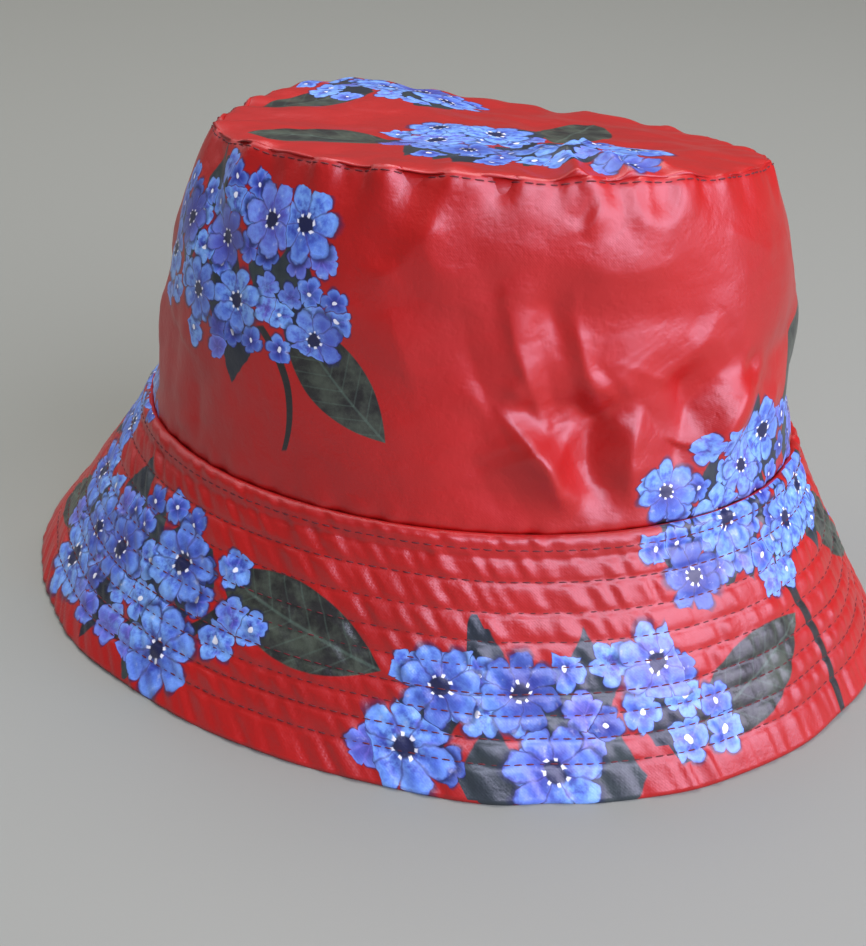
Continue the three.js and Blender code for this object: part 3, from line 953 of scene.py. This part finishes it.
FOLIAGE_SPACING = 11  # mm between the dabs of foliage
FOLIAGE_SQUEEZE = 0.55  # of the map's height, so that the dabs are taller than wide


def reach_from(bouquets, place):
    """How far a place lies from the nearest bouquet: 0 in its middle, 1 on its outline."""
    least = None
    for bouquet in bouquets:
        apart = place.vector("SUBTRACT", (bouquet.x, bouquet.y, 0))
        share = apart.vector("MULTIPLY", (1 / bouquet.half_width, 1 / bouquet.half_height, 0))
        reach = share.vector("LENGTH", output="Value")
        least = reach if least is None else least.at_most(reach)
    return least


def cells(place, spacing, randomness, outputs, **settings):
    """Voronoi cells whose middles lie about a spacing apart."""
    inputs = {"Vector": place, "Scale": 1 / spacing, "Randomness": randomness}
    return place.node("ShaderNodeTexVoronoi", inputs, outputs, voronoi_dimensions="2D", **settings)


def foliage(cloth, ground, bouquets, dabs):
    """The dark leaves behind each bouquet, as small pointed dabs of two dark greens."""
    squeezed = cloth.vector("MULTIPLY", (1, FOLIAGE_SQUEEZE, 0))
    outputs = ("Color", "Position", "Distance")
    chance, middle, away = cells(squeezed, FOLIAGE_SPACING, FOLIAGE_SCATTER, outputs, distance="MANHATTAN")
    pick, _, _ = chance.parts()
    reach = reach_from(bouquets, middle.vector("MULTIPLY", (1, 1 / FOLIAGE_SQUEEZE, 0)))
    there = reach.below(0.86) * (1 - (away + (dabs - 0.5) * 0.2).rising(0.62, 0.68))
    return ground.blend((pick * dabs).colour(FOLIAGE_DARK, FOLIAGE), there)


def blossoms(cloth, ground, bouquets, kind, strokes, light):
    """Lays one layer of whole blossoms over a ground colour."""
    shift = (kind.shift, 0.7 * kind.shift, 0)
    moved = cloth.vector("ADD", shift)
    chance, middle = cells(moved, kind.spacing, SCATTER, ("Color", "Position"))
    border = cells(moved, kind.spacing, SCATTER, "Distance", feature="DISTANCE_TO_EDGE")
    turn, tone, keep = chance.parts()
    x, y, _ = moved.vector("SUBTRACT", middle).parts()
    angle = y.arctan2(x) + turn * 2 * math.pi
    lobe = abs((angle * (kind.petals / 2)).cosine())
    edge = lobe**0.45 * 0.40 + 0.60
    out = (x * x + y * y) ** 0.5 / (tone * 0.25 + 0.85) / kind.size
    share = (out / edge).at_least(1.02 - border * (kind.spacing / 2.2))
    inside = reach_from(bouquets, middle.vector("SUBTRACT", shift))
    there = inside.below(0.98) * keep.below(kind.fill)
    petal = cloth.node("ShaderNodeValToRGB", {"Fac": share + (strokes - 0.5) * 0.5}, "Color", stops=PETALS)
    petal = petal.blend(VIOLET, (1 - lobe.rising(0.0, 0.6)) * 0.35 + turn.rising(0.5, 0.9) * 0.35)
    petal = petal.blend(SKY, (tone * 0.6 + light * 0.7).rising(0.3, 1.1) * 0.85 * strokes.rising(0.36, 0.62))
    petal = petal.blend(INDIGO, (1 - (tone + light * 0.4).rising(0.0, 0.6)) * 0.7)
    petal = petal.blend(WHITE, strokes.rising(0.60, 0.75) * 0.22)
    if kind.eye:
        petal = petal.blend(NAVY, (1 - lobe.rising(0.02, 0.30)) * out.rising(0.1, 0.3) * 0.55)
        stamens = (angle * STAMENS).sine().rising(0.2, 0.6) * out.rising(kind.eye, kind.eye + 0.03)
        petal = petal.blend(NAVY, 1 - out.rising(kind.eye, kind.eye + 0.08))
        petal = petal.blend(WHITE, stamens * (1 - out.rising(kind.eye + 0.07, kind.eye + 0.11)))
    else:
        petal = petal.blend(WHITE, 1 - (out + turn.rising(0.6, 0.7) * 0.2).rising(0.12, 0.16))
    shadow = ground.blend(NAVY, (1 - share.rising(1.0, 1.20)) * there * 0.75)
    return shadow.blend(petal, (1 - share.rising(0.96, 1.02)) * there)


# %% [markdown]
# ## Leaves and stems
# A leaf is a lens: a Mapping node turns and stretches the cloth's map so that the leaf becomes a
# simple shape between -1 and 1, and one sum says how far inside its edge a point is. Side veins are
# stripes that lean with the distance from the midrib. A stem is a thin line on the same map, bent by
# the square of the distance along it.

# %% Leaves
Leaf = namedtuple("Leaf", "x y heading half_length half_width")

LEAF_DARK = (0.014, 0.014, 0.012, 1)
LEAF_MID = (0.060, 0.072, 0.050, 1)
LEAF_PALE = (0.13, 0.20, 0.15, 1)
VEIN_PITCH, VEIN_LEAN = 5.5, 6.5  # mm from vein to vein, along the midrib and out from it
STEM_BEND = 6  # mm by which a stem's ends lie beside its middle


def leaf_map(cloth, leaf, half_width):
    """The cloth's map turned to a leaf: -1 to 1 along it, and -1 to 1 over the given width."""
    inputs = {
        "Vector": cloth,
        "Location": (leaf.x, leaf.y, 0),
        "Rotation": (0, 0, math.radians(leaf.heading)),
        "Scale": (leaf.half_length, half_width, 1),
    }
    return cloth.node("ShaderNodeMapping", inputs, vector_type="TEXTURE").parts()[:2]


def laid_leaf(cloth, ground, leaf, mottle):
    """Lays one leaf over a ground colour."""
    along, across = leaf_map(cloth, leaf, leaf.half_width)
    off = abs(across)
    inside = 1 - along * along - off
    veins = along * (leaf.half_length / VEIN_PITCH) - off * (leaf.half_width / VEIN_LEAN)
    vein = (veins * 2 * math.pi).cosine()
    pale = vein.rising(0.90, 1.0) * 0.16 + (1 - off.rising(0.01, 0.06)) * 0.28
    return ground.blend(mottle.blend(LEAF_PALE, pale), inside.rising(0.0, 0.5 / leaf.half_width))


def laid_stem(cloth, ground, stem):
    """Lays one bent stem over a ground colour."""
    along, across = leaf_map(cloth, stem, 1)
    bent = abs(across - along * along * STEM_BEND + STEM_BEND / 2) / (stem.half_width + along * 0.3)
    return ground.blend(LEAF_DARK, (1 - abs(along)).rising(0, 0.05) * (1 - bent.rising(0.8, 1.1)))


# %% [markdown]
# ## Coated cloth
# The cloth is woven polyester under a thin film. The film makes it shine softly: a Principled shader
# with medium roughness and a light coat on top. Two things break the shine up. A fine bump of crossed
# threads and a crackle of tiny creases tilts it, and scuffed places are a little rougher and paler.
# What would be a flat red becomes uneven through wide, faint blots of darker dye.

# %% Printed cloth
RED = (0.42, 0.006, 0.004, 1)
DEEP_RED = (0.35, 0.005, 0.003, 1)
WORN_RED = (0.52, 0.05, 0.05, 1)
FILM = {
    "Specular IOR Level": 0.68,
    "Specular Tint": (0.92, 0.86, 0.98, 1),
    "Coat Weight": 0.16,
    "Coat Roughness": 0.28,
}
WEAVE_TURN = 2 * math.pi / 0.75  # radians to a mm: a thread each 0.75 mm
BRUSH = 2.8  # mm, the width of a brush stroke and how far it strays from a petal's outline


def new_finish(name):
    """An empty finish with a shader on its output, and the map that the print is drawn on."""
    finish = bpy.data.materials.new(name)
    finish.use_nodes = True
    finish.node_tree.nodes.clear()
    surface = finish.node_tree.nodes.new("ShaderNodeBsdfPrincipled")
    output = finish.node_tree.nodes.new("ShaderNodeOutputMaterial")
    finish.node_tree.links.new(surface.outputs["BSDF"], output.inputs["Surface"])
    cloth_map = finish.node_tree.nodes.new("ShaderNodeUVMap")
    cloth_map.uv_map = "print"
    return finish, surface, Shade(finish.node_tree, cloth_map.outputs["UV"])


def noise(source, wavelength, detail=2.0, roughness=0.5, output=0):
    """A cloudy pattern whose blots are about so many units of its source wide."""
    inputs = {"Vector": source, "Scale": 1 / wavelength, "Detail": detail, "Roughness": roughness}
    return source.node("ShaderNodeTexNoise", inputs, output)


def on_body(cloth):
    """The place on the hat itself, in mm, for patterns that run on from piece to piece."""
    return cloth.node("ShaderNodeTexCoord", {}, "Object").vector("MULTIPLY", (1000, 1000, 1000))


def bump(height):
    """The tilt that a height in mm gives the surface."""
    return height.node("ShaderNodeBump", {"Height": height, "Distance": MILLIMETRE}, "Normal")


def coated_relief(cloth, body):
    """Height in mm of what is too fine for the mesh: threads under the film and tiny creases."""
    u, v, _ = cloth.parts()
    weave = (u * WEAVE_TURN).sine() * (v * WEAVE_TURN).sine()
    crumple = abs(noise(body, 11, 4, 0.62) - 0.5)
    crackle = abs(noise(body, 3.2, 3, 0.6) - 0.5)
    return weave * 0.006 + (1 - crumple.rising(0, 0.22)) * 0.10 + crackle * 0.12


def coated_cloth(name, bouquets=(), leaves=(), stems=()):
    """The finish of one piece: red cloth, then its stems, leaves, foliage and two layers of blossoms."""
    finish, surface, cloth = new_finish(name)
    body = on_body(cloth)
    blots = noise(body, 45, 3)
    scuffs = noise(body, 16, 6, 0.7).rising(0.60, 0.74)
    colour = blots.rising(0.3, 0.75).colour(RED, DEEP_RED).blend(WORN_RED, scuffs * 0.10)
    mottle = noise(body, 9, 5, 0.65).rising(0.38, 0.66).colour(LEAF_DARK, LEAF_MID)
    for stem in stems:
        colour = laid_stem(cloth, colour, stem)
    for leaf in leaves:
        colour = laid_leaf(cloth, colour, leaf, mottle)
    if bouquets:
        strokes = noise(cloth, BRUSH, 3, 0.6)
        wobble = noise(cloth, 4.0, 2, output=1).vector("SUBTRACT", (0.5, 0.5, 0.5))
        brushed = cloth.vector("ADD", wobble.vector("MULTIPLY", (BRUSH, BRUSH, 0)))
        light = noise(cloth, 34, 1).rising(0.36, 0.64)
        colour = foliage(cloth, colour, bouquets, noise(cloth, 5.5, 2))
        for kind in (SMALL_BLOSSOM, WIDE_BLOSSOM):
            colour = blossoms(brushed, colour, bouquets, kind, strokes, light)
    roughness = 0.40 + scuffs * 0.12 + (blots - 0.5) * 0.08
    tilt = bump(coated_relief(cloth, body))
    plug(surface, {"Base Color": colour, "Roughness": roughness, "Normal": tilt, **FILM})
    print(name, "has", len(finish.node_tree.nodes), "nodes")
    return finish


# %% [markdown]
# ## The print's layout
# Each piece has its own list of bouquets, leaves and stems, all in millimetres on the print's map. A
# bouquet that crosses the seam between side and brim is in both lists, so it runs on over the seam.

# %% Layout of the print
SIDE_BOUQUETS = [
    Bouquet(-196, 66, 48, 30),
    Bouquet(-20, 2, 50, 27),
    Bouquet(96, 68, 50, 30),
    Bouquet(206, 10, 54, 34),
    Bouquet(-262, 0, 30, 24),
]
BRIM_BOUQUETS = [
    Bouquet(-20, 2, 50, 27),
    Bouquet(-206, -34, 46, 20),
    Bouquet(-92, -44, 48, 17),
    Bouquet(206, 10, 54, 34),
    Bouquet(92, -38, 46, 20),
    Bouquet(-262, 0, 30, 24),
]
TIP_BOUQUETS = [Bouquet(26, -26, 44, 30), Bouquet(-48, 34, 30, 24)]
SIDE_LEAVES = [
    Leaf(-152, 42, 135, 25, 10),
    Leaf(20, 32, 40, 26, 10),
    Leaf(140, 40, 150, 26, 10),
    Leaf(262, 34, 80, 24, 9),
]
BRIM_LEAVES = [
    Leaf(-152, -30, 165, 24, 10),
    Leaf(-40, -42, 20, 25, 9),
    Leaf(24, -26, 140, 24, 9),
    Leaf(140, -32, 20, 24, 9),
    Leaf(216, -38, 150, 24, 9),
    Leaf(-250, -40, 200, 22, 8),
]
TIP_LEAVES = [Leaf(-24, -44, 195, 25, 11), Leaf(24, 18, 100, 26, 11), Leaf(-58, 4, 60, 22, 9)]
SIDE_STEMS = [Leaf(-168, 34, 108, 20, 1.2), Leaf(124, 38, 70, 22, 1.2)]
BRIM_STEMS = [Leaf(-186, -44, 30, 22, 1.5), Leaf(-14, -42, 98, 24, 1.6)]

side_finish = coated_cloth("printed_side", SIDE_BOUQUETS, SIDE_LEAVES, SIDE_STEMS)
brim_finish = coated_cloth("printed_brim", BRIM_BOUQUETS, BRIM_LEAVES, BRIM_STEMS)
tip_finish = coated_cloth("printed_tip", TIP_BOUQUETS, TIP_LEAVES)
plain_finish = coated_cloth("plain_cloth")

# %% [markdown]
# ## Thread
# The thread is twisted polyester in a darker red, and its colour is darker still than the thread's own:
# that part is painted shade of the grooves and needle holes the stitches lie in. At this size its fibres
# are only a hint: a fine mottle in colour and bump, and less shine than the film has.

# %% Thread finish
# Both darker than the thread's own red: partly painted shade of the grooves and needle holes
THREAD_DARK = (0.07, 0.005, 0.010, 1)
THREAD_PALE = (0.16, 0.009, 0.014, 1)

thread_finish, thread_surface, thread_map = new_finish("thread")
fibre = noise(on_body(thread_map), 0.9, 3)
# The thread's colour, with painted shade of its groove in it
thread_dye_and_groove_shade = fibre.colour(THREAD_DARK, THREAD_PALE)
thread_roughness = 0.55 + fibre * 0.2
thread_tilt = bump(fibre * 0.08)
plug(thread_surface, {"Base Color": thread_dye_and_groove_shade, "Roughness": thread_roughness, "Normal": thread_tilt})
print("thread has", len(thread_finish.node_tree.nodes), "nodes")

# %% [markdown]
# ## Dressing the pieces
# Each new piece gets its finishes and rides on the hat's one body, and the solids it replaces are hidden.

# %% Dress
def dress(thing, finishes):
    for finish in finishes:
        thing.data.materials.append(finish)
    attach(thing, "root")


dress(side, [side_finish, plain_finish])
dress(tip, [tip_finish, plain_finish])
dress(brim, [brim_finish, plain_finish])
for stitches in (brim_stitches, underside_stitches, tip_stitches):
    dress(stitches, [thread_finish])
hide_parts("crown_side")
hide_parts("crown_tip")
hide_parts("brim")

# %% [markdown]
# ## Floor and light
# The hat stands on a plain grey floor. A coated cloth shows its lights as soft patches of shine, so
# their places matter: where a light is mirrored, there the sheen appears. A low box at the right is
# mirrored in the upright side, one higher up in the shoulder, and one in front in the sloping brim.
# Three more, to the left, behind and over the tip, fill the shadows. All are large areas: point lamps
# would give small hard glints that soft cloth doesn't show.

# %% Floor
FLOOR_REACH = 6  # metres to each side
FLOOR_GREY = (0.24, 0.24, 0.212, 1)

floor_mesh = bpy.data.meshes.new("floor")
floor_corners = [(x * FLOOR_REACH, y * FLOOR_REACH, 0) for x, y in ((-1, -1), (1, -1), (1, 1), (-1, 1))]
floor_mesh.from_pydata(floor_corners, [], [(0, 1, 2, 3)])
floor = add_object("floor", floor_mesh)
floor_finish = bpy.data.materials.new("floor_grey")
floor_finish.use_nodes = True
plug(floor_finish.node_tree.nodes["Principled BSDF"], {"Base Color": FLOOR_GREY, "Roughness": 0.85})
floor_mesh.materials.append(floor_finish)

# %% Lights
AIM_HEIGHT = 0.08  # metres: the lights face the middle of the hat


def soft_light(name, azimuth, elevation, distance, width, height, power, colour=(1, 1, 1)):
    """A rectangle of light that faces the hat, in degrees, metres and watts."""
    data = bpy.data.lights.new(name, "AREA")
    data.shape = "RECTANGLE"
    data.size, data.size_y = width, height
    data.energy = power
    data.color = colour
    lamp = add_object(name, data)
    turn, lift = math.radians(azimuth), math.radians(elevation)
    level = math.cos(lift)
    towards = Vector((math.cos(turn) * level, math.sin(turn) * level, math.sin(lift)))
    lamp.location = towards * distance + Vector((0, 0, AIM_HEIGHT))
    lamp.rotation_mode = "QUATERNION"
    lamp.rotation_quaternion = towards.to_track_quat("Z", "Y")


soft_light("right_softbox", -14, 40, 1.7, 1.6, 1.0, 17, (0.90, 0.92, 1.14))
soft_light("low_softbox", -6, 15, 1.5, 1.5, 0.65, 18, (0.92, 0.90, 1.12))
soft_light("front_softbox", -55, 36, 1.6, 1.0, 0.52, 12, (0.86, 0.95, 1.16))
soft_light("left_fill", -165, 60, 2.0, 1.2, 1.2, 9)
soft_light("overhead", 95, 74, 1.8, 1.4, 1.2, 27)
soft_light("back_panel", 165, 30, 2.4, 2.0, 1.4, 8)

world = bpy.data.worlds.new("studio")
bpy.context.scene.world = world
world.use_nodes = True
plug(world.node_tree.nodes["Background"], {"Color": (0.80, 0.78, 0.74, 1), "Strength": 0.12})
bpy.context.scene.view_settings.view_transform = "Standard"
